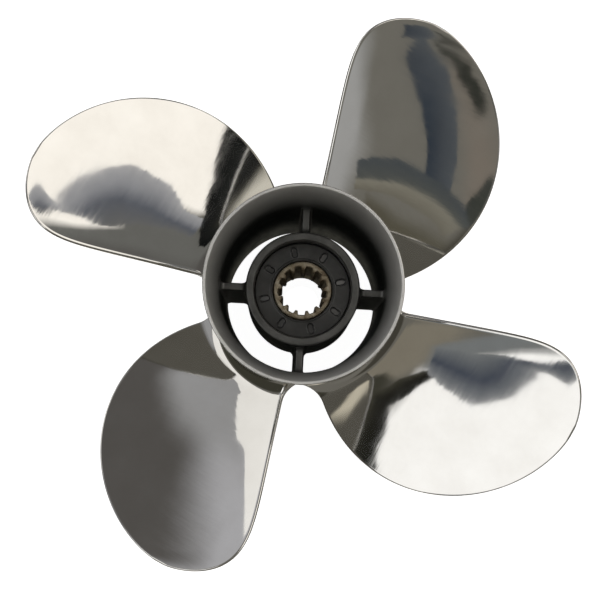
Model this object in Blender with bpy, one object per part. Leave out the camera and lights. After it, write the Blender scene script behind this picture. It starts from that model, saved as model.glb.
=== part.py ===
"""A four-blade outboard propeller with a through-hub exhaust barrel and a pressed-in rubber drive bushing.

Frame: metres. The shaft axis is Z and +Z points aft, the way the exhaust leaves. The origin is the centre
of the barrel's forward face, on which the propeller stands. Support ribs lie along X and Y.
Angles called "turn" run clockwise seen from aft, the way a right-hand propeller turns.
"""

from math import cos, pi, radians, sin, sqrt, tan

import bmesh
import bpy
from mathutils import Matrix, Vector

MM = 0.001
INCH = 0.0254

# Driving dimensions of a right-hand 12 in x 9 in propeller for a 3.5 in gearcase.
DIAMETER = 12 * INCH
PITCH = 9 * INCH
BLADES = 4
RAKE = radians(15)
CLEARANCE = 0.3 * MM  # kept between neighbouring solids
ROUND_STEPS = 48

# Exhaust barrel.
BARREL_LENGTH = 122 * MM
BARREL_RADIUS = 44 * MM
RIM_RADIUS = 48.8 * MM
RIM_WALL = 1.8 * MM
FLARE_LENGTH = 24 * MM
THROAT_RADIUS = 41.6 * MM  # inside, where the flare begins
PASSAGE_RADIUS = 39.3 * MM  # inside, at the forward end of the ribs
NOSE_DEPTH = 24 * MM  # counterbore that sleeves over the gearcase; hub and ribs start behind it
NOSE_RADIUS = 40.5 * MM

# Inner hub and its ribs.
HUB_RADIUS = 28.4 * MM
HUB_BORE = 24.1 * MM
HUB_AFT = 93.5 * MM
HUB_STOP_RADIUS = 21.5 * MM  # lip that the bushing is pressed against
HUB_STOP_DEPTH = 3 * MM
RIB_AFT = 87.8 * MM
RIB_AFT_THICKNESS = 3 * MM
RIB_FORWARD_THICKNESS = 4.6 * MM

# Drive bushing: rubber on a splined sleeve.
BUSHING_RADIUS = HUB_BORE - CLEARANCE
BUSHING_AFT = 85.5 * MM
SLEEVE_RADIUS = 14.8 * MM
SLEEVE_FORWARD = 21 * MM
SLEEVE_AFT = 85.2 * MM
SPLINE_TEETH = 13
SPLINE_MAJOR = 12.15 * MM
SPLINE_MINOR = 10.25 * MM
SPLINE_FORWARD = 43 * MM  # the teeth stop here, at the counterbore
COUNTERBORE = 12.6 * MM
POCKETS = 8
POCKET_TURN = radians(30)
POCKET_RADIUS = 19.5 * MM
POCKET_LENGTH = 5.6 * MM
POCKET_WIDTH = 3.2 * MM
POCKET_DEPTH = 1.2 * MM

# Blades. Turns are measured from the generator, the raked line that ends in the middle of the tip.
FIRST_BLADE = radians(65.2)  # direction of the first blade's generator, from +X towards +Y
GENERATOR_Z = 53.7 * MM  # height at which the generator leaves the barrel
TIP_HALF = radians(0.8)  # half of the short arc that closes the tip
TRAILING_SWEEP = radians(15.5)
TRAILING_POWER = 8.5  # high, so the trailing edge stays radial until it rounds into the tip
TRAILING_ROUND = 0.69
LEADING_SWEEP = radians(50.7)
LEADING_POWER = 1.55  # low, so the leading edge falls away all along the span
LEADING_ROUND = 0.63
ROOT_RADIUS = BARREL_RADIUS + 0.6 * MM  # clear of the barrel where the flat root face dips
CUP = 1.5 * MM  # lift of the trailing edge
CUP_WIDTH = 14 * MM  # how far in from the edge the cup bends the blade
ROOT_THICKNESS = 7.5 * MM
TIP_THICKNESS = 2.2 * MM
TRAILING_ROOT_THICKNESS = 3.4 * MM
TRAILING_TIP_THICKNESS = 1.8 * MM
LEADING_THICKNESS = 0.9 * MM
FILLET = 6.5 * MM
BLADE_ROWS = 14
ROW_CROWDING = 2.4  # draws the rows together towards the tip
BLADE_COLUMNS = 12


def clear_scene():
    for obj in list(bpy.data.objects):
        bpy.data.objects.remove(obj)


def material(name, colour, roughness, metallic):
    made = bpy.data.materials.new(name)
    made.use_nodes = True
    shader = made.node_tree.nodes["Principled BSDF"]
    shader.inputs["Base Color"].default_value = (*colour, 1)
    shader.inputs["Roughness"].default_value = roughness
    shader.inputs["Metallic"].default_value = metallic
    return made


def add_object(name, mesh, finish, parent=None):
    obj = bpy.data.objects.new(name, mesh)
    bpy.context.scene.collection.objects.link(obj)
    if finish and not mesh.materials:
        mesh.materials.append(finish)
    obj.parent = parent
    return obj


def add_empty(name, parent=None):
    empty = bpy.data.objects.new(name, None)
    bpy.context.scene.collection.objects.link(empty)
    empty.parent = parent
    return empty


def finish_mesh(name, bm, smooth_angle=35):
    bmesh.ops.recalc_face_normals(bm, faces=bm.faces)
    mesh = bpy.data.meshes.new(name)
    bm.to_mesh(mesh)
    bm.free()
    mesh.shade_smooth()
    mesh.set_sharp_from_angle(angle=radians(smooth_angle))
    return mesh


def arc(centre, radius, start, end, steps):
    """Points (r, z) along a round edge, angles in degrees from +r towards +z."""
    turns = [radians(start + (end - start) * i / steps) for i in range(steps + 1)]
    return [(centre[0] + radius * cos(a), centre[1] + radius * sin(a)) for a in turns]


def turned(name, profile):
    """A closed ring, spun about Z from a closed outline of (r, z) points."""
    bm = bmesh.new()
    loop = [bm.verts.new((r, 0, z)) for r, z in profile]
    edges = [bm.edges.new((a, b)) for a, b in zip(loop, loop[1:] + loop[:1])]
    bmesh.ops.spin(
        bm,
        geom=loop + edges,
        axis=(0, 0, 1),
        cent=(0, 0, 0),
        angle=2 * pi,
        steps=ROUND_STEPS,
        use_merge=True,
    )
    bmesh.ops.remove_doubles(bm, verts=bm.verts, dist=0.001 * MM)
    return finish_mesh(name, bm)


def prism(name, outline, low, high):
    """An upright solid with that outline of (x, y) points."""
    bm = bmesh.new()
    face = bm.faces.new([bm.verts.new((x, y, low)) for x, y in outline])
    made = bmesh.ops.extrude_face_region(bm, geom=[face])["geom"]
    lifted = [v for v in made if isinstance(v, bmesh.types.BMVert)]
    bmesh.ops.translate(bm, verts=lifted, vec=(0, 0, high - low))
    return finish_mesh(name, bm)


def cut(obj, cutter):
    cutter.hide_render = True
    cutter.display_type = "WIRE"
    boolean = obj.modifiers.new("Cut by " + cutter.name, "BOOLEAN")
    boolean.operation = "DIFFERENCE"
    boolean.object = cutter
    boolean.solver = "EXACT"


# Barrel -------------------------------------------------------------------------------------------


def flare_radius(height):
    """Outside of the barrel: straight, then opening towards the rim."""
    share = (height - (BARREL_LENGTH - FLARE_LENGTH)) / FLARE_LENGTH
    share = min(max(share, 0), 1)
    return BARREL_RADIUS + (RIM_RADIUS - BARREL_RADIUS) * share**2.2


def passage_radius(height):
    """Inside of the barrel: a slight taper up to the flare, then open towards the rim."""
    flare_start = BARREL_LENGTH - FLARE_LENGTH
    share = min((height - NOSE_DEPTH) / (flare_start - NOSE_DEPTH), 1)
    radius = PASSAGE_RADIUS + (THROAT_RADIUS - PASSAGE_RADIUS) * share
    opening = max((height - flare_start) / FLARE_LENGTH, 0)
    return radius + (RIM_RADIUS - RIM_WALL - THROAT_RADIUS) * opening**1.6


def make_barrel(finish, parent):
    flare_start = BARREL_LENGTH - FLARE_LENGTH
    lip = RIM_WALL / 2
    outside = [
        (flare_radius(z), z)
        for z in [flare_start + FLARE_LENGTH * share for share in (0, 0.3, 0.52, 0.7, 0.84)]
    ]
    rim = arc((RIM_RADIUS - lip, BARREL_LENGTH - lip), lip, 0, 180, 4)
    inside = [
        (passage_radius(z), z)
        for z in [flare_start + FLARE_LENGTH * share for share in (0.84, 0.66, 0.45, 0.22, 0)]
    ]
    chamfer = 0.8 * MM
    nose = [
        (PASSAGE_RADIUS, NOSE_DEPTH),
        (NOSE_RADIUS, NOSE_DEPTH),
        (NOSE_RADIUS, chamfer),
        (NOSE_RADIUS + chamfer, 0),
        (BARREL_RADIUS - chamfer, 0),
        (BARREL_RADIUS, chamfer),
    ]
    add_object("exhaust_barrel", turned("exhaust_barrel", outside + rim + inside + nose), finish, parent)


# Inner hub and ribs -------------------------------------------------------------------------------


def make_inner_hub(finish, parent):
    lead_in = 4.6 * MM  # depth of the taper that guides the bushing in
    edge = 1.2 * MM
    forward = NOSE_DEPTH
    profile = [
        (HUB_RADIUS, forward + edge),
        *arc((HUB_RADIUS - edge, HUB_AFT - edge), edge, 0, 90, 3),
        (HUB_BORE + 2.2 * MM, HUB_AFT),
        (HUB_BORE, HUB_AFT - lead_in),
        (HUB_BORE, forward + HUB_STOP_DEPTH),
        (HUB_STOP_RADIUS, forward + HUB_STOP_DEPTH),
        (HUB_STOP_RADIUS, forward),
        (HUB_RADIUS - edge, forward),
    ]
    add_object("inner_hub", turned("inner_hub", profile), finish, parent)


def make_ribs(finish, parent):
    """Four webs between the inner hub and the barrel, thicker towards the bow."""
    bm = bmesh.new()
    corners = []
    for z, thickness in ((NOSE_DEPTH, RIB_FORWARD_THICKNESS), (RIB_AFT, RIB_AFT_THICKNESS)):
        near = HUB_RADIUS + CLEARANCE
        far = passage_radius(z) - CLEARANCE
        half = thickness / 2
        outline = ((near, -half), (far, -half), (far, half), (near, half))
        corners.append([bm.verts.new((x, y, z)) for x, y in outline])
    forward, aft = corners
    bm.faces.new(forward)
    bm.faces.new(aft)
    for i in range(4):
        bm.faces.new((forward[i], forward[i - 1], aft[i - 1], aft[i]))
    long_edges = [e for e in bm.edges if {e.verts[0], e.verts[1]} in ({aft[0], aft[1]}, {aft[2], aft[3]})]
    bmesh.ops.bevel(
        bm, geom=long_edges, offset=1.1 * MM, segments=3, profile=0.5, affect="EDGES", clamp_overlap=True
    )
    mesh = finish_mesh("support_rib", bm)
    for number in range(1, 5):
        rib = add_object(f"support_rib_{number}", mesh, finish, parent)
        rib.rotation_euler.z = (number - 1) * pi / 2


# Drive bushing ------------------------------------------------------------------------------------


def oval(length, width, steps=5):
    """Outline of a slot with round ends, its length along X."""
    half = (length - width) / 2
    right = [radians(-90 + 180 * i / steps) for i in range(steps + 1)]
    ends = [(half + width / 2 * cos(a), width / 2 * sin(a)) for a in right]
    return ends + [(-x, -y) for x, y in ends]


def make_bushing(finish, parent):
    """Rubber ring with eight moulded pockets in its aft face, deeper towards the outside."""
    edge = 1.0 * MM
    bore = SLEEVE_RADIUS + CLEARANCE
    forward = NOSE_DEPTH + HUB_STOP_DEPTH + CLEARANCE
    profile = [
        (BUSHING_RADIUS - edge, forward),
        (BUSHING_RADIUS, forward + edge),
        *arc((BUSHING_RADIUS - edge, BUSHING_AFT - edge), edge, 0, 90, 3),
        (bore + 0.7 * MM, BUSHING_AFT),
        (bore, BUSHING_AFT - 0.7 * MM),
        (bore, forward),
    ]
    bushing = add_object("rubber_bushing", turned("rubber_bushing", profile), finish, parent)
    pocket = prism("pocket", oval(POCKET_LENGTH, POCKET_WIDTH), 0, 4 * MM)
    for number in range(POCKETS):
        angle = pi / 2 - POCKET_TURN - number * 2 * pi / POCKETS
        cutter = add_object(f"pocket_cutter_{number + 1}", pocket, None, parent)
        tilt = Matrix.Rotation(radians(12), 4, "Y")
        place = Matrix.Translation((POCKET_RADIUS, 0, BUSHING_AFT - POCKET_DEPTH))
        cutter.matrix_world = Matrix.Rotation(angle, 4, "Z") @ place @ tilt
        cut(bushing, cutter)


def spline_outline():
    """The bore between the teeth: 13 lands at the minor radius and 13 spaces at the major one."""
    points = []
    pitch = 2 * pi / SPLINE_TEETH
    middle = (SPLINE_MAJOR + SPLINE_MINOR) / 2
    shares = ((0.10, SPLINE_MINOR), (0.23, middle), (0.31, SPLINE_MAJOR))
    for tooth in range(SPLINE_TEETH):
        start = pi / 2 + tooth * pitch
        for share, radius in shares:
            points.append((radius, start + share * pitch))
        for share, radius in reversed(shares):
            points.append((radius, start + (1 - share) * pitch))
    return [(radius * cos(a), radius * sin(a)) for radius, a in points]


def make_sleeve(finish, parent):
    edge = 0.8 * MM
    wall_bore = SPLINE_MINOR - 1.5 * MM
    profile = [
        (SLEEVE_RADIUS - edge, SLEEVE_FORWARD),
        (SLEEVE_RADIUS, SLEEVE_FORWARD + edge),
        (SLEEVE_RADIUS, SLEEVE_AFT - edge),
        (SLEEVE_RADIUS - edge, SLEEVE_AFT),
        (wall_bore, SLEEVE_AFT),
        (wall_bore, SLEEVE_FORWARD),
    ]
    sleeve = add_object("splined_sleeve", turned("splined_sleeve", profile), finish, parent)
    past = 5 * MM
    broach = prism("spline_broach", spline_outline(), SLEEVE_FORWARD - past, SLEEVE_AFT + past)
    cut(sleeve, add_object("spline_broach", broach, None, parent))
    turns = [2 * pi * i / ROUND_STEPS for i in range(ROUND_STEPS)]
    circle = [(COUNTERBORE * cos(a), COUNTERBORE * sin(a)) for a in turns]
    counterbore = prism("counterbore", circle, SLEEVE_FORWARD - past, SPLINE_FORWARD)
    cut(sleeve, add_object("counterbore", counterbore, None, parent))


# Blades -------------------------------------------------------------------------------------------


def span_share(radius):
    return min(max((radius - BARREL_RADIUS) / (DIAMETER / 2 - BARREL_RADIUS), 0), 1)


def blade_edges(radius):
    """Turn of the trailing and of the leading edge at that radius."""
    span = span_share(radius)
    trailing = TRAILING_SWEEP * (1 - span**TRAILING_POWER) ** TRAILING_ROUND
    leading = LEADING_SWEEP * (1 - span**LEADING_POWER) ** LEADING_ROUND
    return -TIP_HALF - trailing, TIP_HALF + leading


def pressure_face(radius, chord_share):
    """A point of the aft face and its normal: a flat-faced raked helix, cupped at the trailing edge."""
    trailing, leading = blade_edges(radius)
    turn = trailing + (leading - trailing) * chord_share
    lead = PITCH / (2 * pi)  # advance per radian
    chord = (leading - trailing) * sqrt(radius**2 + lead**2)
    height = GENERATOR_Z + tan(RAKE) * (radius - BARREL_RADIUS) - lead * turn
    height += CUP * min(3 * span_share(radius), 1) * max(1 - chord_share * chord / CUP_WIDTH, 0) ** 2
    outward = Vector((cos(turn), -sin(turn), 0))
    ahead = Vector((-sin(turn), -cos(turn), 0))
    normal = Vector((0, 0, 1)) - outward * tan(RAKE) + ahead * lead / radius
    return outward * radius + Vector((0, 0, height)), normal.normalized()


def blade_thickness(radius, chord_share):
    span = span_share(radius)
    trailing = TRAILING_ROOT_THICKNESS + (TRAILING_TIP_THICKNESS - TRAILING_ROOT_THICKNESS) * span
    edge = trailing + (LEADING_THICKNESS - trailing) * chord_share
    most = TIP_THICKNESS + (ROOT_THICKNESS - TIP_THICKNESS) * (1 - span) ** 1.4
    swell = max(most - (trailing + LEADING_THICKNESS) / 2, 0)
    return edge + swell * sin(pi * chord_share) ** 1.3


def fillet_growth(radius):
    """How far the root fillet stands off the blade at that radius: a quarter round."""
    left = max(FILLET - (radius - ROOT_RADIUS), 0)
    return FILLET - sqrt(FILLET**2 - left**2)


def at_radius(point, radius):
    """The same direction and height, moved to that distance from the axis."""
    scale = radius / sqrt(point.x**2 + point.y**2)
    return Vector((point.x * scale, point.y * scale, point.z))


def section(radius):
    """The blade's closed outline on a cylinder: aft face from trailing to leading edge, then back."""
    growth = fillet_growth(radius)
    aft, forward = [], []
    for i in range(BLADE_COLUMNS + 1):
        even = i / BLADE_COLUMNS
        share = (even + (1 - cos(pi * even)) / 2) / 2
        point, normal = pressure_face(radius, share)
        grown = growth * (0.2 + 0.8 * sin(pi * share) ** 0.6)
        spread = 0.5 * growth * (2 * share - 1)
        point = Matrix.Rotation(-spread / radius, 3, "Z") @ point
        point.z -= spread / radius * PITCH / (2 * pi)
        aft.append(at_radius(point + normal * grown, radius))
        forward.append(at_radius(point - normal * (blade_thickness(radius, share) + grown), radius))
    return aft + forward[::-1]


def blade_mesh():
    tip = DIAMETER / 2
    start = ROOT_RADIUS + FILLET
    radii = [ROOT_RADIUS + FILLET * share for share in (0, 0.08, 0.26, 0.55)]
    for i in range(BLADE_ROWS):
        left = 1 - i / (BLADE_ROWS - 1)
        radii.append(start + (tip - start) * (1 - left**ROW_CROWDING))
    bm = bmesh.new()
    rows = [[bm.verts.new(point) for point in section(radius)] for radius in radii]
    for inner, outer in zip(rows, rows[1:]):
        for i in range(len(inner)):
            bm.faces.new((inner[i - 1], inner[i], outer[i], outer[i - 1]))
    for end in (rows[0], rows[-1]):
        for i in range(BLADE_COLUMNS):
            bm.faces.new((end[i], end[i + 1], end[-2 - i], end[-1 - i]))
    return finish_mesh("blade", bm, smooth_angle=50)


def make_blades(finish, parent):
    mesh = blade_mesh()
    for number in range(1, BLADES + 1):
        blade = add_object(f"blade_{number}", mesh, finish, parent)
        blade.rotation_euler.z = FIRST_BLADE - (number - 1) * 2 * pi / BLADES


# Assembly -----------------------------------------------------------------------------------------


def main():
    clear_scene()
    polished = material("polished_stainless", (0.78, 0.77, 0.75), 0.12, 1)
    satin = material("satin_stainless", (0.30, 0.29, 0.28), 0.45, 1)
    dark = material("dark_satin_hub", (0.11, 0.11, 0.11), 0.5, 0.8)
    rubber = material("black_rubber", (0.035, 0.035, 0.038), 0.6, 0)
    bronze = material("tarnished_bronze", (0.34, 0.28, 0.19), 0.5, 0.9)

    body = add_empty("propeller_body")
    slip_axis = add_empty("bushing_slip_axis", body)
    windup_axis = add_empty("sleeve_windup_axis", slip_axis)
    make_barrel(satin, body)
    make_inner_hub(dark, body)
    make_ribs(dark, body)
    make_blades(polished, body)
    make_bushing(rubber, slip_axis)
    make_sleeve(bronze, windup_axis)


main()
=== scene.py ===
"""Studio scene of a polished four-blade outboard propeller, looking into its exhaust barrel from aft.

Lengths are in metres in the model's own frame: the shaft axis is Z, +Z points aft, and the propeller stands
on the forward face of its barrel. Angles called "turn" run clockwise seen from aft.
"""

from math import atan2, cos, hypot, pi, radians, sin, sqrt, tan

import bmesh
import bpy
from mathutils import Matrix, Vector


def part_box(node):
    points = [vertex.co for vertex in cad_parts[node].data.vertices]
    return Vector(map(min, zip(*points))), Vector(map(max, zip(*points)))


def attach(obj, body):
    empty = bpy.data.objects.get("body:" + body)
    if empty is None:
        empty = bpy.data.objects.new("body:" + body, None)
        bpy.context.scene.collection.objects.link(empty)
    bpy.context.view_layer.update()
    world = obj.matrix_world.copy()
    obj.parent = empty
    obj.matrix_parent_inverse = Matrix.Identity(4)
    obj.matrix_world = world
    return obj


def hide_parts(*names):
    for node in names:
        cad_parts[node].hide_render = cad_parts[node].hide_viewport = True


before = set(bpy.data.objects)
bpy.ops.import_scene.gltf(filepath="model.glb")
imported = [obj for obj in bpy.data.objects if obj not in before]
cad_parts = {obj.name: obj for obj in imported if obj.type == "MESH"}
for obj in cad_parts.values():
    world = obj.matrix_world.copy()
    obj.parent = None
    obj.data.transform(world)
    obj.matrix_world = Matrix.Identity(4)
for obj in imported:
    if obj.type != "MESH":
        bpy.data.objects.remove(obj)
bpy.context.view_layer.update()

MM = 0.001
INCH = 0.0254

# Exhaust barrel, measured along the axis from its forward face and out from the axis.
BARREL_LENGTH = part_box("exhaust_barrel")[1].z
RIM_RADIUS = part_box("exhaust_barrel")[1].x
BARREL_RADIUS = 44 * MM
RIM_WALL = 1.8 * MM
FLARE_LENGTH = 24 * MM
THROAT_RADIUS = 41.6 * MM
PASSAGE_RADIUS = 39.3 * MM
NOSE_DEPTH = 24 * MM
NOSE_RADIUS = 39.9 * MM

# Inner hub, ribs and bushing.
HUB_RADIUS = 28.4 * MM
HUB_BORE = 24.1 * MM
HUB_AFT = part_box("inner_hub")[1].z
HUB_STOP_RADIUS = 21.5 * MM
HUB_STOP_DEPTH = 3 * MM
RIB_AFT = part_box("support_rib_1")[1].z
RIB_AFT_THICKNESS = 3.7 * MM
RIB_FORWARD_THICKNESS = 6 * MM
RIB_EDGE = 0.7 * MM
RIB_FILLET = 2.4 * MM
RUBBER_RADIUS = 23.8 * MM
RUBBER_BORE = 14.95 * MM
RUBBER_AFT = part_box("rubber_bushing")[1].z
RUBBER_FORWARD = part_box("rubber_bushing")[0].z
RUBBER_EDGE = 0.7 * MM
RUBBER_RECESS = 0.35 * MM  # the flat face lies this far under the pockets' lips
SEAM_DEPTH = 3 * MM  # of the groove between rubber and sleeve
BEAD_HEIGHT = 0.3 * MM  # of the ring moulded beside the seam
POCKETS = 8
POCKET_TURN = radians(30)
POCKET_RADIUS = 19.4 * MM
POCKET_LENGTH = 5.2 * MM
POCKET_WIDTH = 2.9 * MM
POCKET_DEPTH = 1.1 * MM
POCKET_WALL = 0.45 * MM
POCKET_LIP = 0.5 * MM

# Splined sleeve.
SLEEVE_RADIUS = 14.45 * MM
SLEEVE_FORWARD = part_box("splined_sleeve")[0].z
SLEEVE_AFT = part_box("splined_sleeve")[1].z
SPLINE_TEETH = 13
SPLINE_MAJOR = 12.15 * MM
SPLINE_MINOR = 10.25 * MM
SPLINE_FORWARD = 43 * MM
COUNTERBORE = 12.6 * MM
SLEEVE_EDGE = 0.8 * MM
TOOTH_CHAMFER = 0.9 * MM

# Blades. Turns are measured from the generator, the raked line that ends in the middle of the tip.
TIP_RADIUS = 6 * INCH
LEAD = 9 * INCH / (2 * pi)  # advance per radian of turn
RAKE = radians(15)
BLADES = 4
FIRST_BLADE = radians(65.2)
GENERATOR_Z = 53.7 * MM
TIP_HALF = radians(0.8)
TRAILING_SWEEP, TRAILING_POWER, TRAILING_ROUND = radians(15.5), 8.5, 0.69
LEADING_SWEEP, LEADING_POWER, LEADING_ROUND = radians(50.7), 1.55, 0.63
CUP = 1.3 * MM
CUP_WIDTH = 14 * MM
ROOT_THICKNESS = 7.5 * MM
TIP_THICKNESS = 2.2 * MM
TRAILING_ROOT_THICKNESS = 3.4 * MM
TRAILING_TIP_THICKNESS = 1.8 * MM
LEADING_THICKNESS = 1.5 * MM
ROOT_FILLET = 12 * MM

# The camera looks almost straight down the shaft from aft.
CAMERA_AIM = (-1.3 * MM, -8.1 * MM, 122 * MM)
CAMERA_DISTANCE = 788 * MM
CAMERA_AZIMUTH = radians(-4.9)
CAMERA_ELEVATION = radians(84.95)
CAMERA_ROLL = radians(2.96)
CAMERA_LENS = 99.05  # on a 36 mm sensor

# Studio, in metres and degrees.
STEEL_GLOW = 1.6  # how much brighter a thing is than its image in the polished steel
DISPLAY_GAMMA = 2.2
ROOM_RADIUS = 6
ROOM_LOW, ROOM_HIGH, ROOM_STEP = -88, 78, 2
ROOM_COLOUR = (98, 96, 90)
NADIR_COLOUR = (18, 19, 18)
NADIR_EDGE, NADIR_SOFTNESS = -72, 14
CARD_GAP = 0.3  # from the room's wall to the first card
CARD_SPACING = 0.02
TABLE_PROFILE = [(0.01, 0), (5, 0), (6.2, 0.3), (6.9, 1.1), (7.2, 2.4), (7.2, 9)]


# Node materials -----------------------------------------------------------------------------------


class Paint:
    """A Principled material and a few short ways to drive it from patterns in object space."""

    def __init__(self, name, metallic, ior=1.5):
        self.material = bpy.data.materials.new(name)
        self.material.use_nodes = True
        self.nodes = self.material.node_tree.nodes
        self.links = self.material.node_tree.links
        self.shader = self.nodes["Principled BSDF"]
        self.shader.inputs["Metallic"].default_value = metallic
        self.shader.inputs["IOR"].default_value = ior
        self.place = self.nodes.new("ShaderNodeTexCoord").outputs["Object"]

    def stretched(self, scale):
        mapping = self.nodes.new("ShaderNodeMapping")
        mapping.inputs["Scale"].default_value = scale
        self.links.new(self.place, mapping.inputs["Vector"])
        return mapping.outputs["Vector"]

    def turn_back(self, angle):
        """Patterns from here on lie as if the mesh were turned back by that angle about the shaft."""
        mapping = self.nodes.new("ShaderNodeMapping")
        mapping.inputs["Rotation"].default_value = (0, 0, -angle)
        self.links.new(self.place, mapping.inputs["Vector"])
        self.place = mapping.outputs["Vector"]

    def noise(self, scale, detail=4.0, roughness=0.5, distortion=0.0, place=None):
        node = self.nodes.new("ShaderNodeTexNoise")
        node.inputs["Scale"].default_value = scale
        node.inputs["Detail"].default_value = detail
        node.inputs["Roughness"].default_value = roughness
        node.inputs["Distortion"].default_value = distortion
        self.links.new(place or self.place, node.inputs["Vector"])
        return node.outputs["Fac"]

    def ramp(self, value, *stops):
        """Colours by position, each stop a (position, colour) pair."""
        node = self.nodes.new("ShaderNodeValToRGB")
        elements = node.color_ramp.elements
        while len(elements) < len(stops):
            elements.new(0.5)
        for element, (position, colour) in zip(elements, stops):
            element.position = position
            element.color = (*colour, 1) if len(colour) == 3 else colour
        self.links.new(value, node.inputs["Fac"])
        return node.outputs["Color"]

    def between(self, value, low, high, start=0.0, end=1.0):
        """A number that goes from low to high as value goes from start to end."""
        node = self.nodes.new("ShaderNodeMapRange")
        node.inputs["From Min"].default_value = start
        node.inputs["From Max"].default_value = end
        node.inputs["To Min"].default_value = low
        node.inputs["To Max"].default_value = high
        self.links.new(value, node.inputs["Value"])
        return node.outputs["Result"]

    def math(self, operation, a, b):
        node = self.nodes.new("ShaderNodeMath")
        node.operation = operation
        for socket, value in zip(node.inputs, (a, b)):
            if isinstance(value, (int, float)):
                socket.default_value = value
            else:
                self.links.new(value, socket)
        return node.outputs["Value"]

    def mixed(self, share, a, b):
        node = self.nodes.new("ShaderNodeMix")
        node.data_type = "RGBA"
        self.links.new(share, node.inputs["Factor"])
        for socket, colour in ((node.inputs["A"], a), (node.inputs["B"], b)):
            if isinstance(colour, tuple):
                socket.default_value = (*colour, 1)
            else:
                self.links.new(colour, socket)
        return node.outputs["Result"]

    def feed(self, name, output):
        self.links.new(output, self.shader.inputs[name])

    def bump(self, height, depth, strength=1.0):
        """Adds relief of that depth in metres to whatever relief is there already."""
        node = self.nodes.new("ShaderNodeBump")
        node.inputs["Strength"].default_value = strength
        node.inputs["Distance"].default_value = depth
        self.links.new(height, node.inputs["Height"])
        earlier = self.shader.inputs["Normal"].links
        if earlier:
            self.links.new(earlier[0].from_socket, node.inputs["Normal"])
        self.links.new(node.outputs["Normal"], self.shader.inputs["Normal"])


def polished_stainless():
    """Mirror-polished by hand across the blade: slow waves, wheel marks along the chord, hazy patches."""
    paint = Paint("polished_stainless", metallic=1.0)
    paint.turn_back(FIRST_BLADE)
    haze = paint.noise(28, detail=5, roughness=0.6)
    paint.feed("Base Color", paint.ramp(haze, (0.3, (0.585, 0.575, 0.555)), (0.7, (0.655, 0.65, 0.635))))
    marks = paint.noise(9, detail=4, roughness=0.55, place=paint.stretched((30, 4, 4)))
    haze_rough = paint.between(haze, 0.03, 0.075, 0.35, 0.75)
    paint.feed("Roughness", paint.math("ADD", haze_rough, paint.between(marks, 0.0, 0.04, 0.4, 0.8)))
    paint.bump(paint.noise(34, detail=2, roughness=0.4, distortion=0.4), 0.13 * MM, strength=0.5)
    paint.bump(marks, 0.028 * MM, strength=0.5)
    return paint.material


def satin_stainless():
    """The barrel's outside and lip: brushed round and half polished."""
    paint = Paint("satin_stainless", metallic=1.0)
    haze = paint.noise(60, detail=5, roughness=0.6)
    paint.feed("Base Color", paint.ramp(haze, (0.3, (0.50, 0.495, 0.48)), (0.7, (0.60, 0.595, 0.58))))
    paint.feed("Roughness", paint.between(haze, 0.20, 0.34, 0.3, 0.7))
    paint.bump(paint.noise(30, detail=4, place=paint.stretched((1, 1, 24))), 0.03 * MM, strength=0.4)
    return paint.material


def soot_and_shade_stainless():
    """Barrel inside: blasted grey rim, sooty black and painted shade inward, streaked painted light deep in.
    """
    # Darker from the rim inward: sooty steel together with painted shade, for the light that falls off deep
    # in the barrel.
    unshaded_above, darkest_below = BARREL_LENGTH - 1 * MM, BARREL_LENGTH - 34 * MM
    streaks_below, streaked_at = 62 * MM, 30 * MM
    paint = Paint("soot_and_shade_stainless", metallic=0.5)
    mottle = paint.noise(90, detail=6, roughness=0.65)
    rim_grey = paint.ramp(mottle, (0.3, (0.68, 0.68, 0.67)), (0.7, (0.82, 0.82, 0.81)))
    height = paint.nodes.new("ShaderNodeSeparateXYZ")
    paint.links.new(paint.place, height.inputs["Vector"])
    inward = paint.between(height.outputs["Z"], 0.0, 1.0, unshaded_above, darkest_below)
    soot_and_shade = paint.mixed(paint.math("POWER", inward, 0.6), rim_grey, (0.026, 0.028, 0.026))
    # Towards the forward end a lighter streaked band is painted light, standing in for light that comes up
    # through the passages.
    streaks = paint.noise(60, detail=5, roughness=0.7, place=paint.stretched((1, 1, 0.25)))
    bare = paint.ramp(streaks, (0.35, (0.05, 0.053, 0.05)), (0.7, (0.42, 0.43, 0.40)))
    painted_light_share = paint.between(height.outputs["Z"], 0.0, 1.0, streaks_below, streaked_at)
    paint.feed("Base Color", paint.mixed(painted_light_share, soot_and_shade, bare))
    paint.feed("Roughness", paint.between(mottle, 0.34, 0.46, 0.3, 0.7))
    paint.bump(paint.noise(900, detail=2), 0.04 * MM, strength=0.3)
    return paint.material


def shade_painted_hub():
    """Inner hub and ribs: as-cast satin stainless, painted dark as shade for where they sit in the barrel.
    """
    paint = Paint("dark_satin_hub", metallic=0.5)
    mottle = paint.noise(120, detail=6, roughness=0.6)
    # This dark grey is painted shade, far darker than the same steel of the barrel.
    paint.feed("Base Color", paint.ramp(mottle, (0.3, (0.072, 0.073, 0.070)), (0.7, (0.125, 0.125, 0.120))))
    paint.feed("Roughness", paint.between(mottle, 0.28, 0.42, 0.3, 0.7))
    paint.bump(paint.noise(800, detail=2), 0.05 * MM, strength=0.35)
    return paint.material


def black_rubber():
    """Moulded rubber with a faint bloom."""
    paint = Paint("black_rubber", metallic=0.0, ior=1.6)
    bloom = paint.noise(70, detail=5, roughness=0.6)
    paint.feed("Base Color", paint.ramp(bloom, (0.35, (0.031, 0.031, 0.031)), (0.75, (0.058, 0.058, 0.057))))
    paint.feed("Roughness", paint.between(bloom, 0.14, 0.25, 0.3, 0.7))
    paint.bump(paint.noise(1500, detail=3), 0.02 * MM, strength=0.3)
    return paint.material


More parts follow.
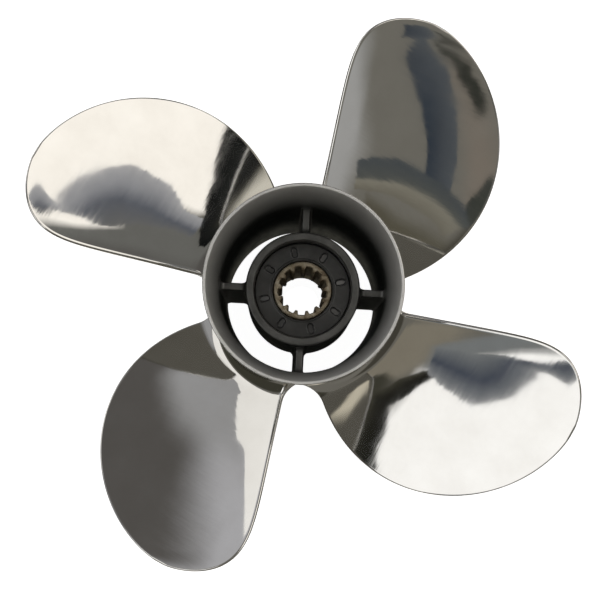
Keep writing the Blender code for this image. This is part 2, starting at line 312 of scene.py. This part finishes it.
def tarnished_bronze():
    """Brown and blotchy, with the turning marks of its machining."""
    paint = Paint("tarnished_bronze", metallic=0.45)
    stain = paint.noise(230, detail=6, roughness=0.72, distortion=0.5)
    brown, tan_brown, bare = (0.09, 0.06, 0.03), (0.27, 0.225, 0.155), (0.46, 0.42, 0.33)
    paint.feed("Base Color", paint.ramp(stain, (0.32, brown), (0.5, tan_brown), (0.72, bare)))
    paint.feed("Roughness", paint.between(stain, 0.65, 0.42, 0.3, 0.7))
    turning = paint.noise(500, detail=3, place=paint.stretched((1, 1, 0.08)))
    paint.bump(turning, 0.04 * MM, strength=0.4)
    return paint.material


# Mesh helpers -------------------------------------------------------------------------------------


def piece(name, bm, material, body, nodes, sharp=40):
    """Turns a bmesh into a shown piece that rides on a body and stands for those CAD nodes."""
    bmesh.ops.recalc_face_normals(bm, faces=bm.faces)
    mesh = bpy.data.meshes.new(name)
    bm.to_mesh(mesh)
    bm.free()
    mesh.shade_smooth()
    mesh.set_sharp_from_angle(angle=radians(sharp))
    mesh.materials.append(material)
    return show(name, mesh, body, nodes)


def show(name, mesh, body, nodes, turn=0.0):
    """Puts a mesh in the scene as a piece; a turn about the shaft makes it one of several alike."""
    obj = bpy.data.objects.new(name, mesh)
    bpy.context.scene.collection.objects.link(obj)
    obj.rotation_euler.z = turn
    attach(obj, body)
    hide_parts(*nodes)
    return obj


def rounded(corners, steps=5):
    """A closed outline of (r, z) points from corners given as (r, z, radius of that corner)."""
    points = []
    for i, (r, z, radius) in enumerate(corners):
        here = Vector((r, z))
        if radius == 0:
            points.append(here)
            continue
        back = (Vector(corners[i - 1][:2]) - here).normalized()
        ahead = (Vector(corners[(i + 1) % len(corners)][:2]) - here).normalized()
        half = back.angle(ahead) / 2
        reach = radius / tan(half)
        centre = here + (back + ahead).normalized() * radius / sin(half)
        start, end = here + back * reach, here + ahead * reach
        for k in range(steps + 1):
            toward = (start - centre).lerp(end - centre, k / steps).normalized()
            points.append(centre + toward * radius)
    return points


def circle(bm, radius, z, steps):
    turns = [2 * pi * i / steps for i in range(steps)]
    return [bm.verts.new((radius * cos(a), radius * sin(a), z)) for a in turns]


def lathe(points, steps):
    """A ring spun about Z from a closed outline."""
    bm = bmesh.new()
    circles = [circle(bm, r, z, steps) for r, z in points]
    bridge_loops(bm, circles + circles[:1])
    return bm


def bridge_loops(bm, loops, closed=True):
    """Joins each loop of vertices to the next with a band of faces."""
    for near, far in zip(loops, loops[1:]):
        for i in range(0 if closed else 1, len(near)):
            bm.faces.new((near[i - 1], near[i], far[i], far[i - 1]))


def quarter_round(distance, radius):
    """How far a rounded edge of that radius lies below the flat surface, at a distance from the edge."""
    left = max(radius - distance, 0)
    return radius - sqrt(max(radius**2 - left**2, 0))


# Barrel, inner hub and ribs -----------------------------------------------------------------------


def flare_radius(height):
    """Outside of the barrel."""
    share = min(max((height - (BARREL_LENGTH - FLARE_LENGTH)) / FLARE_LENGTH, 0), 1)
    return BARREL_RADIUS + (RIM_RADIUS - BARREL_RADIUS) * share**2.2


def passage_radius(height):
    """Inside of the barrel, aft of the nose's counterbore."""
    flare_start = BARREL_LENGTH - FLARE_LENGTH
    share = min((height - NOSE_DEPTH) / (flare_start - NOSE_DEPTH), 1)
    opening = max((height - flare_start) / FLARE_LENGTH, 0)
    straight = PASSAGE_RADIUS + (THROAT_RADIUS - PASSAGE_RADIUS) * share
    return straight + (RIM_RADIUS - RIM_WALL - THROAT_RADIUS) * opening**1.6


def make_barrel(outside_material, inside_material):
    flare_start = BARREL_LENGTH - FLARE_LENGTH
    edge = 0.45 * MM
    heights = [flare_start + FLARE_LENGTH * i / 24 for i in range(24)]
    outside = [(flare_radius(z), z, 0) for z in heights]
    inside = [(passage_radius(z), z, 0) for z in reversed(heights)]
    corners = [
        *outside,
        (RIM_RADIUS, BARREL_LENGTH, edge),
        (RIM_RADIUS - RIM_WALL, BARREL_LENGTH, edge),
        *inside,
        (PASSAGE_RADIUS, NOSE_DEPTH, 0.5 * MM),
        (NOSE_RADIUS, NOSE_DEPTH, 0.3 * MM),
        (NOSE_RADIUS, 0, 0.8 * MM),
        (BARREL_RADIUS, 0, 0.8 * MM),
    ]
    bm = lathe(rounded(corners), 192)
    for face in bm.faces:
        middle = face.calc_center_median()
        halfway = (flare_radius(middle.z) + passage_radius(max(middle.z, NOSE_DEPTH))) / 2
        face.material_index = 1 if hypot(middle.x, middle.y) < halfway else 0
    shell = piece("barrel_shell", bm, outside_material, "propeller_body", ["exhaust_barrel"], sharp=60)
    shell.data.materials.append(inside_material)


def make_inner_hub(material):
    stop = NOSE_DEPTH + HUB_STOP_DEPTH
    corners = [
        (HUB_RADIUS, NOSE_DEPTH, 1.2 * MM),
        (HUB_RADIUS, HUB_AFT, 1.1 * MM),
        (HUB_BORE + 0.6 * MM, HUB_AFT, 0.35 * MM),
        (HUB_BORE, HUB_AFT - 1.2 * MM, 0.5 * MM),
        (HUB_BORE, stop, 0),
        (HUB_STOP_RADIUS, stop, 0.3 * MM),
        (HUB_STOP_RADIUS, NOSE_DEPTH, 0.3 * MM),
    ]
    bm = lathe(rounded(corners), 160)
    piece("hub_core", bm, material, "propeller_body", ["inner_hub"])


def make_ribs(material):
    """Webs between inner hub and barrel: flat aft edges, drafted sides, fillets at both ends."""
    straight = RIB_AFT - NOSE_DEPTH - 2 * RIB_EDGE
    rises = [0, 0.25 * MM, RIB_EDGE, *(RIB_EDGE + straight * i / 16 for i in range(1, 16))]
    heights = [NOSE_DEPTH + rise for rise in rises]
    heights += [RIB_AFT - left * RIB_EDGE for left in (1, 0.55, 0.25, 0.08, 0)]
    columns = 32
    bm = bmesh.new()
    loops = []
    for column in range(columns + 1):
        share = (1 - cos(pi * column / columns)) / 2
        side = []
        for z in heights:
            near, far = HUB_RADIUS - 0.2 * MM, passage_radius(z) + 0.3 * MM
            x = near + (far - near) * share
            growth = quarter_round(max(min(x - HUB_RADIUS, passage_radius(z) - x), 0), RIB_FILLET)
            up = (z - NOSE_DEPTH) / (RIB_AFT - NOSE_DEPTH)
            half = (RIB_FORWARD_THICKNESS + (RIB_AFT_THICKNESS - RIB_FORWARD_THICKNESS) * up) / 2
            half -= quarter_round(min(RIB_AFT - z, z - NOSE_DEPTH), RIB_EDGE)
            side.append((x, half + 0.5 * growth, z + growth * up**16))
        flat = [(x, y * k / 3, z) for k in (2, 1, 0, -1, -2) for x, y, z in side[-1:]]
        other = [(x, -y, z) for x, y, z in reversed(side)]
        loops.append([bm.verts.new(point) for point in side + flat + other])
    bridge_loops(bm, loops)
    bm.faces.new(loops[0])
    bm.faces.new(loops[-1])
    first = piece("rib_web_1", bm, material, "propeller_body", ["support_rib_1"], sharp=50)
    for number in range(2, 5):
        turn = (number - 1) * pi / 2
        nodes = [f"support_rib_{number}"]
        show(f"rib_web_{number}", first.data, "propeller_body", nodes, turn)


# Rubber bushing and sleeve ------------------------------------------------------------------------


def pocket_relief(x, y):
    """Height of the rubber's aft face near the moulded pockets, from its flat level."""
    turn = atan2(x, y) - POCKET_TURN
    step = 2 * pi / POCKETS
    off = (turn + step / 2) % step - step / 2
    radius = hypot(x, y)
    along = radius * cos(off) - POCKET_RADIUS
    across = radius * sin(off)
    straight = (POCKET_LENGTH - POCKET_WIDTH) / 2
    from_line = hypot(max(abs(along) - straight, 0), across)
    inside = POCKET_WIDTH / 2 - from_line
    if inside > 0:
        share = min(inside / POCKET_WALL, 1)
        slope = 0.75 + 0.45 * (along + POCKET_LENGTH / 2) / POCKET_LENGTH
        return -POCKET_DEPTH * slope * share**2 * (3 - 2 * share)
    lip = max(1 + inside / POCKET_LIP, 0)
    return POCKET_LIP * lip**2 * (1 - lip) * 4


def rubber_height(x, y):
    """Height of the aft face: rounded at both edges, with a bead beside the seam, and the pockets."""
    radius = hypot(x, y)
    drop = quarter_round(RUBBER_RADIUS - radius, RUBBER_EDGE) + quarter_round(radius - RUBBER_BORE, 0.5 * MM)
    bead = max(1 - abs(radius - RUBBER_BORE - 0.75 * MM) / (0.55 * MM), 0) * BEAD_HEIGHT
    return RUBBER_AFT - RUBBER_RECESS - drop + bead + pocket_relief(x, y)


def make_rubber(material):
    steps = 720
    rings = 72
    bm = bmesh.new()
    loops = []
    for ring in range(rings + 1):
        radius = RUBBER_BORE + (RUBBER_RADIUS - RUBBER_BORE) * ring / rings
        loop = circle(bm, radius, 0, steps)
        for vert in loop:
            vert.co.z = rubber_height(vert.co.x, vert.co.y)
        loops.append(loop)
    bond = SLEEVE_RADIUS + 0.05 * MM
    loops.append(circle(bm, RUBBER_RADIUS, RUBBER_FORWARD, steps))
    loops.append(circle(bm, bond, RUBBER_FORWARD, steps))
    loops.append(circle(bm, bond, RUBBER_AFT - SEAM_DEPTH, steps))
    bridge_loops(bm, loops + loops[:1])
    piece("bushing_rubber", bm, material, "drive_bushing", ["rubber_bushing"], sharp=50)


def spline_radius(turn, minor, major):
    """Radius of the splined bore: lands at minor, spaces at major, with sloping rounded flanks."""
    place = (turn * SPLINE_TEETH / (2 * pi)) % 1
    from_space = abs(place - 0.5)
    share = min(max((0.40 - from_space) / 0.15, 0), 1)
    share = share * share * (3 - 2 * share)
    return minor + (major - minor) * share


def make_sleeve(material):
    """Each level is the radius at the teeth, the radius at the spaces between them, and a height."""
    steps = SPLINE_TEETH * 48
    edge = SLEEVE_EDGE
    chamfer = TOOTH_CHAMFER
    levels = [
        (SLEEVE_RADIUS, SLEEVE_RADIUS, SLEEVE_FORWARD + edge),
        (SLEEVE_RADIUS, SLEEVE_RADIUS, SLEEVE_AFT - edge),
        (SLEEVE_RADIUS - edge / 3, SLEEVE_RADIUS - edge / 3, SLEEVE_AFT - edge / 3),
        (SLEEVE_RADIUS - edge, SLEEVE_RADIUS - edge, SLEEVE_AFT),
        (SPLINE_MAJOR + 0.5 * MM, SPLINE_MAJOR + 0.5 * MM, SLEEVE_AFT),
        (SPLINE_MINOR + chamfer, SPLINE_MAJOR + 0.1 * MM, SLEEVE_AFT - 0.5 * MM),
        (SPLINE_MINOR + 0.2 * MM, SPLINE_MAJOR, SLEEVE_AFT - 0.5 * MM - chamfer),
        (SPLINE_MINOR, SPLINE_MAJOR, SLEEVE_AFT - 0.9 * MM - chamfer),
        (SPLINE_MINOR, SPLINE_MAJOR, SPLINE_FORWARD + 1.5 * MM),
        (SPLINE_MAJOR, SPLINE_MAJOR, SPLINE_FORWARD),
        (COUNTERBORE, COUNTERBORE, SPLINE_FORWARD - 0.5 * MM),
        (COUNTERBORE, COUNTERBORE, SLEEVE_FORWARD),
        (SLEEVE_RADIUS - edge, SLEEVE_RADIUS - edge, SLEEVE_FORWARD),
    ]
    bm = bmesh.new()
    loops = []
    for minor, major, z in levels:
        loop = []
        for i in range(steps):
            a = 2 * pi * i / steps
            radius = spline_radius(a - pi / 2, minor, major)
            loop.append(bm.verts.new((radius * cos(a), radius * sin(a), z)))
        loops.append(loop)
    bridge_loops(bm, loops + loops[:1])
    nodes = ["splined_sleeve"]
    piece("sleeve_bronze", bm, material, "drive_sleeve", nodes, sharp=35)


# Blades -------------------------------------------------------------------------------------------


def span_share(radius):
    """0 at the barrel and 1 at the tip."""
    return min(max((radius - BARREL_RADIUS) / (TIP_RADIUS - BARREL_RADIUS), 0), 1)


def blade_edges(radius):
    """Turn of the trailing and of the leading edge at that radius."""
    span = span_share(radius)
    trailing = TRAILING_SWEEP * (1 - span**TRAILING_POWER) ** TRAILING_ROUND
    leading = LEADING_SWEEP * (1 - span**LEADING_POWER) ** LEADING_ROUND
    return -TIP_HALF - trailing, TIP_HALF + leading


def edge_slants(radius):
    """For each edge, the ratio of the true distance from it to the distance along the chord."""
    step = 0.05 * MM
    inner, outer = blade_edges(radius - step), blade_edges(min(radius + step, TIP_RADIUS))
    slopes = [(b - a) * radius / (2 * step) for a, b in zip(inner, outer)]
    return [1 / sqrt(1 + slope**2) for slope in slopes]


def blade_thickness(radius, chord_share):
    span = span_share(radius)
    trailing = TRAILING_ROOT_THICKNESS + (TRAILING_TIP_THICKNESS - TRAILING_ROOT_THICKNESS) * span
    edge = trailing + (LEADING_THICKNESS - trailing) * chord_share
    most = TIP_THICKNESS + (ROOT_THICKNESS - TIP_THICKNESS) * (1 - span) ** 1.4
    swell = max(most - (trailing + LEADING_THICKNESS) / 2, 0)
    return edge + swell * sin(pi * chord_share) ** 1.3


def blade_shares(columns):
    """Places along the chord, crowded at both edges so that they come out round."""
    shares = []
    for i in range(columns + 1):
        even = i / columns
        crowded = (1 - cos(pi * even)) / 2
        shares.append(0.45 * even + 0.55 * crowded)
    near = [0.0, 0.0012, 0.004, 0.009, 0.016]
    inner = [share for share in shares if 0.02 < share < 0.98]
    return near + inner + [1 - share for share in reversed(near)]


def blade_section(radius, shares):
    """The blade's closed outline on a cylinder: aft face from trailing to leading edge, then back."""
    trailing, leading = blade_edges(radius)
    slants = edge_slants(radius)
    chord = (leading - trailing) * hypot(radius, LEAD)
    growth = quarter_round(radius - BARREL_RADIUS, ROOT_FILLET)
    cup_grows = min(3 * span_share(radius), 1) * (1 - span_share(radius) ** 5)
    aft, forward = [], []
    for share in shares:
        turn = trailing + (leading - trailing) * share
        from_trailing = share * chord * slants[0]
        from_edge = min(from_trailing, (1 - share) * chord * slants[1], TIP_RADIUS - radius)
        height = GENERATOR_Z + tan(RAKE) * (radius - BARREL_RADIUS) - LEAD * turn
        height += CUP * cup_grows * max(1 - from_trailing / CUP_WIDTH, 0) ** 2
        outward = Vector((cos(turn), -sin(turn), 0))
        ahead = Vector((-sin(turn), -cos(turn), 0))
        normal = (Vector((0, 0, 1)) - outward * tan(RAKE) + ahead * LEAD / radius).normalized()
        thickness = blade_thickness(radius, share)
        rounding = quarter_round(from_edge, thickness / 2)
        spread = 0.8 * growth * (2 * share - 1) / radius
        point = outward * radius + Vector((0, 0, height))
        point = Matrix.Rotation(-spread, 3, "Z") @ point
        point.z -= spread * LEAD
        grown = growth * (0.25 + 0.75 * sin(pi * share) ** 0.5)
        for side, offset in ((aft, grown - rounding), (forward, rounding - thickness - grown)):
            moved = point + normal * offset
            scale = radius / hypot(moved.x, moved.y)
            side.append((moved.x * scale, moved.y * scale, moved.z))
    return aft + forward[-2:0:-1]


def blade_rows():
    """Radii from just inside the barrel's skin to the tip, crowded in the fillet and at the tip."""
    radii = [BARREL_RADIUS + ROOT_FILLET * (i / 12) ** 2 for i in range(12)]
    start = BARREL_RADIUS + ROOT_FILLET
    rows = 72
    radii += [start + (TIP_RADIUS - start) * (1 - (1 - i / rows) ** 2.2) for i in range(rows + 1)]
    return radii


def make_blades(material):
    shares = blade_shares(72)
    bm = bmesh.new()
    loops = [[bm.verts.new(point) for point in blade_section(radius, shares)] for radius in blade_rows()]
    bridge_loops(bm, loops)
    last = len(shares) - 1
    for loop in (loops[0], loops[-1]):
        for i in range(last):
            corners = [loop[i], loop[i + 1]]
            if i + 1 < last:
                corners.append(loop[-i - 1])
            if i > 0:
                corners.append(loop[-i])
            bm.faces.new(corners)
    bm.transform(Matrix.Rotation(FIRST_BLADE, 4, "Z"))
    first = piece("blade_skin_1", bm, material, "propeller_body", ["blade_1"], sharp=60)
    for number in range(2, BLADES + 1):
        turn = (1 - number) * 2 * pi / BLADES
        show(f"blade_skin_{number}", first.data, "propeller_body", [f"blade_{number}"], turn)


# Studio -------------------------------------------------------------------------------------------


def room_point(azimuth, elevation, radius):
    """A point round the barrel's middle; azimuth counts anticlockwise from +X, in degrees."""
    a, e = radians(azimuth), radians(elevation)
    return Vector((0, 0, BARREL_LENGTH / 2)) + Vector((cos(a) * cos(e), sin(a) * cos(e), sin(e))) * radius


def steel_light(colour):
    """The light whose image in the polished steel has that sRGB colour."""
    return [STEEL_GLOW * (c / 255) ** DISPLAY_GAMMA for c in colour]


def glowing(name):
    """A material that shines with the light painted on the mesh's corners."""
    material = bpy.data.materials.new(name)
    material.use_nodes = True
    nodes, links = material.node_tree.nodes, material.node_tree.links
    nodes.remove(nodes["Principled BSDF"])
    painted = nodes.new("ShaderNodeVertexColor")
    painted.layer_name = "light"
    glow = nodes.new("ShaderNodeEmission")
    links.new(painted.outputs["Color"], glow.inputs["Color"])
    links.new(glow.outputs["Emission"], nodes["Material Output"].inputs["Surface"])
    return material


def stage(name, bm, material, seen_by_camera):
    """Puts a studio mesh in the scene that either only the camera sees or only the object sees."""
    mesh = bpy.data.meshes.new(name)
    bm.to_mesh(mesh)
    bm.free()
    mesh.materials.append(material)
    obj = bpy.data.objects.new(name, mesh)
    bpy.context.scene.collection.objects.link(obj)
    obj.visible_camera = seen_by_camera
    obj.visible_glossy = not seen_by_camera
    obj.visible_diffuse = not seen_by_camera
    obj.visible_shadow = False


# The round wall of the studio as soft patches of (sRGB colour, softness of the border, corners), each corner
# an azimuth and an elevation. Later patches cover earlier ones.
ROOM = [
    # Towards +X: a warm white panel with a slanting lower edge, a grey wall beside it, and shade below.
    ((98, 98, 95), 8, [(44, -10), (44, 66), (72, 66), (80, 40), (80, -10)]),
    ((72, 70, 62), 8, [(-12, -10), (-12, 40), (8, 40), (50, 18), (54, -10)]),
    ((248, 243, 235), 4, [(-12, 42), (-12, 80), (66, 80), (66, 42), (40, 42), (38, 28), (33, 24), (8, 40)]),
    # Towards -X: the same again, in a more neutral white, with a lighter patch below.
    ((58, 57, 50), 8, [(162, -10), (162, 40), (-170, 34), (-152, 30), (-152, -10)]),
    ((246, 245, 243), 4, [(162, 36), (162, 80), (-124, 80), (-124, 48), (-136, 48), (-145, 46), (-145, 36)]),
    ((110, 113, 114), 4, [(-146, 48), (-130, 48), (-116, 42), (-118, 37), (-146, 37)]),
    ((118, 113, 102), 4, [(-154, 31), (-141, 37), (-128, 37), (-119, 31), (-124, 20), (-152, 20)]),
    # Towards -Y: brownish and dim, with one lighter corner.
    ((103, 101, 95), 6, [(-112, -10), (-112, 80), (-34, 80), (-34, -10)]),
    ((112, 105, 97), 5, [(-100, 52), (-84, 57), (-60, 61), (-56, 60), (-70, 56), (-84, 50)]),
    ((80, 77, 67), 5, [(-108, 46), (-92, 44), (-64, 33), (-46, 30), (-46, 10), (-104, 10)]),
    ((148, 148, 147), 14, [(-38, 42), (-34, 48), (-12, 46), (-8, 8), (-32, 8), (-34, 28)]),
    ((64, 62, 56), 5, [(-112, 10), (-112, 62), (-92, 60), (-90, 48), (-92, 40), (-84, 30), (-84, 10)]),
    # Towards +Y: dim, and brighter to one side and low down.
    ((80, 78, 76), 10, [(64, -10), (64, 80), (128, 80), (128, -10)]),
    ((160, 160, 163), 15, [(120, 28), (121, 44), (124, 56), (160, 60), (160, 24)]),
    ((140, 140, 141), 9, [(97, -10), (97, 33), (110, 37), (132, 38), (132, -10)]),
    # Below: two bright patches and a dark one.
    ((240, 236, 224), 16, [(38, -47), (38, -28), (68, -28), (70, -47)]),
    ((46, 47, 46), 12, [(78, -80), (76, -38), (90, -28), (150, -50), (150, -80)]),
    ((225, 218, 200), 7, [(-112, -48), (-106, -34), (-94, -34), (-92, -50)]),
]

# Cards and flags hung in front of the room, each a strip of (sRGB colour, corners) rows that shade into
# one another. Their outer rows have crisp edges, which soft patches on the room can't give.
CARDS = {
    "grey_card_right": [
        ((154, 154, 156), [(39, 24), (39, 31), (33, 38), (33, 46), (41, 50), (50, 51)]),
        ((130, 131, 135), [(43, 24), (42, 31), (38, 38), (39, 45), (44, 48), (50, 49)]),
        ((84, 87, 94), [(46, 24), (45, 31), (43, 38), (43, 44), (46, 46), (50, 47)]),
        ((98, 98, 97), [(49, 24), (48, 31), (49, 38), (50, 41), (51, 42), (52, 43)]),
    ],
    "dark_flag_right": [
        ((20, 21, 21), [(-12, 51), (7, 44), (22, 34), (37, 26), (55, 18)]),
        ((34, 35, 34), [(-12, 46), (4, 39), (19, 30), (35, 22), (54, 15)]),
        ((72, 70, 62), [(-12, 39), (1, 32), (15, 24), (32, 17), (53, 12)]),
    ],
    "dark_flag_left": [
        ((28, 28, 26), [(162, 48), (178, 41), (194, 35), (207, 38), (214, 41)]),
        ((36, 36, 32), [(162, 44), (177, 37), (194, 31), (207, 35), (214, 39)]),
        ((58, 57, 50), [(162, 39), (176, 34), (194, 28), (207, 32), (214, 37)]),
    ],
    "grey_card_left": [
        ((132, 133, 135), [(-147, 38), (-151, 43), (-155, 49), (-151, 54), (-139, 58)]),
        ((100, 103, 107), [(-144, 38), (-148, 43), (-152, 49), (-149, 53), (-138, 56)]),
        ((64, 69, 79), [(-141, 38), (-144, 44), (-147, 49), (-145, 52), (-137, 53)]),
        ((112, 115, 116), [(-134, 38), (-136, 45), (-137, 47), (-136, 48), (-135, 49)]),
    ],
    "blue_card_front": [
        ((74, 78, 82), [(-47, 61), (-59, 59), (-68, 55), (-77, 48)]),
        ((64, 68, 73), [(-46, 59), (-57, 57), (-67, 51), (-72, 46)]),
        ((46, 53, 62), [(-45, 58), (-54, 54), (-63, 49), (-67, 44)]),
    ],
    "shelf_front": [
        ((66, 70, 73), [(-92, 50), (-67, 47), (-49, 43), (-37, 38)]),
        ((76, 78, 76), [(-90, 48), (-69, 44), (-48, 37), (-38, 33)]),
        ((118, 115, 105), [(-89, 47), (-69, 43), (-48, 36), (-38, 32)]),
        ((98, 95, 86), [(-87, 43), (-67, 39), (-46, 32), (-38, 29)]),
    ],
    "beam_front": [
        ((44, 46, 42), [(-52, 61.5), (-62, 61.5), (-71, 60)]),
        ((50, 51, 47), [(-50, 61), (-60, 60), (-70, 58.5)]),
    ],
    "post_front": [
        ((56, 58, 55), [(-83, 56), (-84, 50)]),
        ((60, 62, 58), [(-89, 55), (-91, 49)]),
    ],
    "white_card_back": [
        ((224, 222, 218), [(136, -5), (127, 22), (130, 34), (140, 39)]),
        ((230, 228, 224), [(158, -5), (157, 22), (155, 34), (146, 40)]),
    ],
}


def depth_inside(azimuth, elevation, corners):
    """How many degrees a direction lies inside a patch of the room; negative outside it."""
    nearest = 360.0
    inside = False
    for (a0, e0), (a1, e1) in zip(corners, corners[1:] + corners[:1]):
        along_a, along_e = a1 - a0, e1 - e0
        off_a, off_e = azimuth - a0, elevation - e0
        share = min(max((off_a * along_a + off_e * along_e) / (along_a**2 + along_e**2), 0), 1)
        nearest = min(nearest, hypot(off_a - along_a * share, off_e - along_e * share))
        if (e0 > elevation) != (e1 > elevation) and off_a < along_a * off_e / along_e:
            inside = not inside
    return nearest if inside else -nearest


def unwrapped(azimuth, corners):
    """The azimuth and the corners counted from the first corner, so that the seam at 180 splits no patch."""
    first = corners[0][0]
    near = [((a - first + 180) % 360 - 180, e) for a, e in corners]
    return (azimuth - first + 180) % 360 - 180, near


def room_colour(azimuth, elevation):
    """The light that comes to the object from that direction."""
    up = min(max((elevation - NADIR_EDGE) / NADIR_SOFTNESS, 0), 1)
    below, level = steel_light(NADIR_COLOUR), steel_light(ROOM_COLOUR)
    colour = [low + (high - low) * up for low, high in zip(below, level)]
    for painted, softness, corners in ROOM:
        turned, near = unwrapped(azimuth, corners)
        if not min(a for a, _ in near) - softness < turned < max(a for a, _ in near) + softness:
            continue
        share = min(max(0.5 + depth_inside(turned, elevation, near) / softness, 0), 1)
        share = share * share * (3 - 2 * share)
        colour = [old + (new - old) * share for old, new in zip(colour, steel_light(painted))]
    return colour


def glowing_sheet(name, rows, material, closed):
    """A studio mesh from rows of (point, light) pairs, with the light painted on its vertices."""
    bm = bmesh.new()
    layer = bm.verts.layers.float_color.new("light")
    loops = []
    for row in rows:
        loop = []
        for point, light in row:
            vert = bm.verts.new(point)
            vert[layer] = (*light, 1)
            loop.append(vert)
        loops.append(loop)
    bridge_loops(bm, loops, closed)
    stage(name, bm, material, seen_by_camera=False)


def make_room():
    """A ball of soft light round the object, and the cards in it, all out of the camera's sight."""
    material = glowing("room_light")
    rows = []
    for elevation in range(ROOM_LOW, ROOM_HIGH + 1, ROOM_STEP):
        places = [(azimuth, elevation) for azimuth in range(-180, 180, ROOM_STEP)]
        rows.append([(room_point(*place, ROOM_RADIUS), room_colour(*place)) for place in places])
    glowing_sheet("room", rows, material, closed=True)
    for number, (name, strip) in enumerate(CARDS.items()):
        radius = ROOM_RADIUS - CARD_GAP - CARD_SPACING * number
        rows = []
        for colour, corners in strip:
            rows.append([(room_point(*corner, radius), steel_light(colour)) for corner in corners])
        glowing_sheet(name, rows, material, closed=False)


def make_table():
    """A white table that sweeps up into the backdrop; only the camera sees it."""
    material = bpy.data.materials.new("white_table")
    material.use_nodes = True
    shader = material.node_tree.nodes["Principled BSDF"]
    shader.inputs["Base Color"].default_value = (0.8, 0.8, 0.8, 1)
    shader.inputs["Roughness"].default_value = 0.9
    shader.inputs["Specular IOR Level"].default_value = 0.0
    shader.inputs["Emission Color"].default_value = (1, 1, 1, 1)
    shader.inputs["Emission Strength"].default_value = 0.97
    bm = bmesh.new()
    loops = [circle(bm, radius, height, 64) for radius, height in TABLE_PROFILE]
    bridge_loops(bm, loops)
    bm.faces.new(loops[0])
    for face in bm.faces:
        face.smooth = True
    stage("table", bm, material, seen_by_camera=True)


def make_studio():
    make_table()
    make_room()
    world = bpy.data.worlds.new("studio")
    world.use_nodes = True
    background = world.node_tree.nodes["Background"]
    background.inputs["Color"].default_value = (0.175, 0.17, 0.155, 1)
    background.inputs["Strength"].default_value = 1.0
    bpy.context.scene.world = world


def make_camera():
    data = bpy.data.cameras.new("camera")
    data.lens = CAMERA_LENS
    data.clip_start = 0.05
    data.clip_end = 30
    camera = bpy.data.objects.new("camera", data)
    bpy.context.scene.collection.objects.link(camera)
    level = cos(CAMERA_ELEVATION)
    back = Vector((sin(CAMERA_AZIMUTH) * level, -cos(CAMERA_AZIMUTH) * level, sin(CAMERA_ELEVATION)))
    camera.location = Vector(CAMERA_AIM) + back * CAMERA_DISTANCE
    up = Vector((0, 1, 0)) - back * back.y
    up = Matrix.Rotation(CAMERA_ROLL, 3, back) @ up.normalized()
    right = up.cross(back)
    camera.rotation_mode = "QUATERNION"
    camera.rotation_quaternion = Matrix((right, up, back)).transposed().to_quaternion()
    bpy.context.scene.camera = camera


make_camera()
hub_shade_painted = shade_painted_hub()
make_barrel(satin_stainless(), soot_and_shade_stainless())
make_inner_hub(hub_shade_painted)
make_ribs(hub_shade_painted)
make_rubber(black_rubber())
make_sleeve(tarnished_bronze())
make_blades(polished_stainless())
make_studio()
bpy.context.scene.view_settings.view_transform = "Standard"
